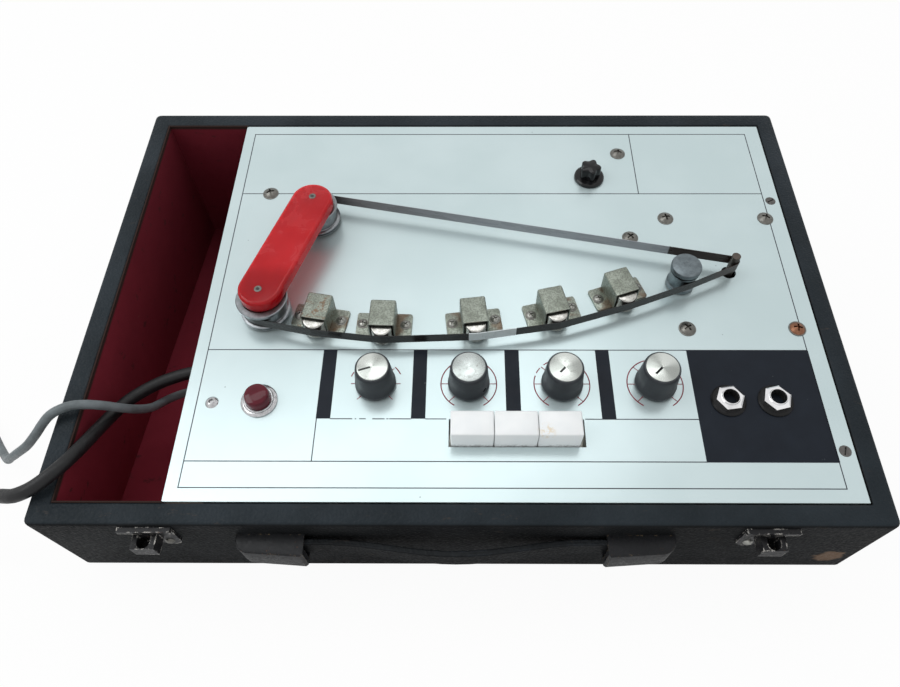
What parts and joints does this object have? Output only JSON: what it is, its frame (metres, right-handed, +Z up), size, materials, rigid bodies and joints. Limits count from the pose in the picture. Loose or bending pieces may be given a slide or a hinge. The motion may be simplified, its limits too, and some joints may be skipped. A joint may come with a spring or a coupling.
{
  "type": "tape echo unit",
  "caption": "Tape echo effects unit: a covered, wedge-shaped open case with a control panel, an endless tape loop over heads and pulleys, knobs, keys and two leads.",
  "frame": {"origin": "On the surface that the unit stands on, under the middle of the box round the case and its fittings, with the leads, coils and plugs left out", "axes": "+X to the right as seen from the handle side, +Y to the rear, +Z up; the rim and the control panel rise 9 degrees towards +Y"},
  "size_m": [0.672, 0.3017, 0.1267],
  "materials": {
    "covered_board": "plywood under black leathercloth",
    "bare_wood": "bare softwood",
    "bay_cloth": "dark maroon flock cloth",
    "rubber": "moulded",
    "bright_steel": "zinc plated",
    "black_metal": "black enamel, worn at the edges",
    "strap": "black leathercloth strap",
    "panel": "satin, with printed dark lines",
    "bronze_screw": "bronze finish",
    "dark_steel": "plain",
    "laminations": "stacked laminations",
    "arm": "plated",
    "wheel": "turned",
    "bridge": "gloss red",
    "tape": "coated tape",
    "head_can": "tarnished plating",
    "head_core": "polished",
    "knob": "moulded",
    "spun_cap": "spun",
    "pot": "plated",
    "white_key": "moulded",
    "lens": "tinted",
    "chrome": "bright",
    "bakelite": "moulded",
    "socket": "moulded",
    "transformer": "laminated core",
    "board": "resin-bonded paper",
    "grey_cable": "PVC",
    "black_cable": "PVC",
    "plug": "moulded",
    "jack": "moulded"
  },
  "bodies": {
    "case": {"front_board": "covered_board", "rear_board": "covered_board", "side_boards": "covered_board", "base_board": "covered_board", "divider_board": "bare_wood", "bay_lining": "bay_cloth", "panel_battens": "bare_wood", "rubber_feet": "rubber", "case_fixings": "bright_steel", "handle_end_caps": "black_metal", "lid_keepers": "black_metal", "control_panel": "panel", "panel_screws": "bronze_screw", "motor_frame": "dark_steel", "motor_stator": "laminations", "tension_spring": "bright_steel", "transport_studs": "bright_steel", "pulley_bridge": "bridge", "tape_loop": "tape", "head_1": "head_can", "head_2": "head_can", "head_3": "head_can", "head_4": "head_can", "head_5": "head_can", "head_cores": "head_core", "head_screws": "bright_steel", "potentiometers": "pot", "switch_frame": "pot", "lamp_lens": "lens", "lamp_bezel": "chrome", "fuse_holder": "bakelite", "jack_nuts": "chrome", "jack_sockets": "socket", "transformer": "transformer", "circuit_board": "board", "lead_grommets": "rubber", "grey_lead": "grey_cable", "grey_coil": "grey_cable", "mains_plug": "plug", "black_lead": "black_cable", "black_coil": "black_cable", "jack_plug": "jack"},
    "handle": {"handle_strap": "strap"},
    "motor_rotor": {"motor_rotor": "dark_steel"},
    "rear_pulley": {"rear_pulley": "wheel"},
    "front_pulley": {"front_pulley": "wheel"},
    "tension_arm": {"tension_arm": "arm"},
    "guide_roller": {"guide_roller": "wheel"},
    "knob_1": {"knob_1": "knob", "knob_cap_1": "spun_cap"},
    "knob_2": {"knob_2": "knob", "knob_cap_2": "spun_cap"},
    "knob_3": {"knob_3": "knob", "knob_cap_3": "spun_cap"},
    "knob_4": {"knob_4": "knob", "knob_cap_4": "spun_cap"},
    "key_1": {"echo_key_1": "white_key"},
    "key_2": {"echo_key_2": "white_key"},
    "key_3": {"echo_key_3": "white_key"},
    "fuse_cap": {"fuse_cap": "bakelite"}
  },
  "joints": [
    {"name": "handle_slide", "type": "slide", "parent": "case", "child": "handle", "axis": [1, 0, 0], "range_m": [-0.003, 0.003]},
    {"name": "motor_spin", "type": "hinge", "parent": "case", "child": "motor_rotor", "pos_m": [0.1523, 0.0036, 0.09725], "axis": [0, -0.1564, 0.9877], "continuous": true},
    {"name": "rear_pulley_spin", "type": "hinge", "parent": "case", "child": "rear_pulley", "pos_m": [-0.086, 0.04113, 0.10319], "axis": [0, -0.1564, 0.9877], "continuous": true},
    {"name": "front_pulley_spin", "type": "hinge", "parent": "case", "child": "front_pulley", "pos_m": [-0.1074, -0.02366, 0.09293], "axis": [0, -0.1564, 0.9877], "continuous": true},
    {"name": "arm_swing", "type": "hinge", "parent": "case", "child": "tension_arm", "pos_m": [0.088, 0.00755, 0.09788], "axis": [0, -0.1564, 0.9877], "range_deg": [0, 4], "stiffness_Nm_per_rad": 0.05, "springref_deg": -28.65, "deforming": ["tension_spring"]},
    {"name": "roller_spin", "type": "hinge", "parent": "tension_arm", "child": "guide_roller", "pos_m": [0.123, -0.0045, 0.09597], "axis": [0, -0.1564, 0.9877], "continuous": true},
    {"name": "knob_1_turn", "type": "hinge", "parent": "case", "child": "knob_1", "pos_m": [-0.0444, -0.06791, 0.08592], "axis": [0, -0.1564, 0.9877], "range_deg": [-240, 60]},
    {"name": "knob_2_turn", "type": "hinge", "parent": "case", "child": "knob_2", "pos_m": [0.0039, -0.06791, 0.08592], "axis": [0, -0.1564, 0.9877], "range_deg": [-250, 50]},
    {"name": "knob_3_turn", "type": "hinge", "parent": "case", "child": "knob_3", "pos_m": [0.0522, -0.06791, 0.08592], "axis": [0, -0.1564, 0.9877], "range_deg": [-285, 15]},
    {"name": "knob_4_turn", "type": "hinge", "parent": "case", "child": "knob_4", "pos_m": [0.1005, -0.06791, 0.08592], "axis": [0, -0.1564, 0.9877], "range_deg": [-280, 20]},
    {"name": "key_1_press", "type": "slide", "parent": "case", "child": "key_1", "axis": [0, 0.1564, -0.9877], "range_m": [0, 0.004], "stiffness_N_per_m": 300, "springref_m": -0.002},
    {"name": "key_2_press", "type": "slide", "parent": "case", "child": "key_2", "axis": [0, 0.1564, -0.9877], "range_m": [0, 0.004], "stiffness_N_per_m": 300, "springref_m": -0.002},
    {"name": "key_3_press", "type": "slide", "parent": "case", "child": "key_3", "axis": [0, 0.1564, -0.9877], "range_m": [0, 0.004], "stiffness_N_per_m": 300, "springref_m": -0.002},
    {"name": "fuse_cap_turn", "type": "hinge", "parent": "case", "child": "fuse_cap", "pos_m": [0.0792, 0.07669, 0.10883], "axis": [0, -0.1564, 0.9877], "range_deg": [0, 90]}
  ],
  "couplings": [
    {"joint": "rear_pulley_spin", "follows": "motor_spin", "ratio": 0.22689},
    {"joint": "front_pulley_spin", "follows": "motor_spin", "ratio": 0.22689},
    {"joint": "roller_spin", "follows": "motor_spin", "ratio": 0.35526}
  ]
}
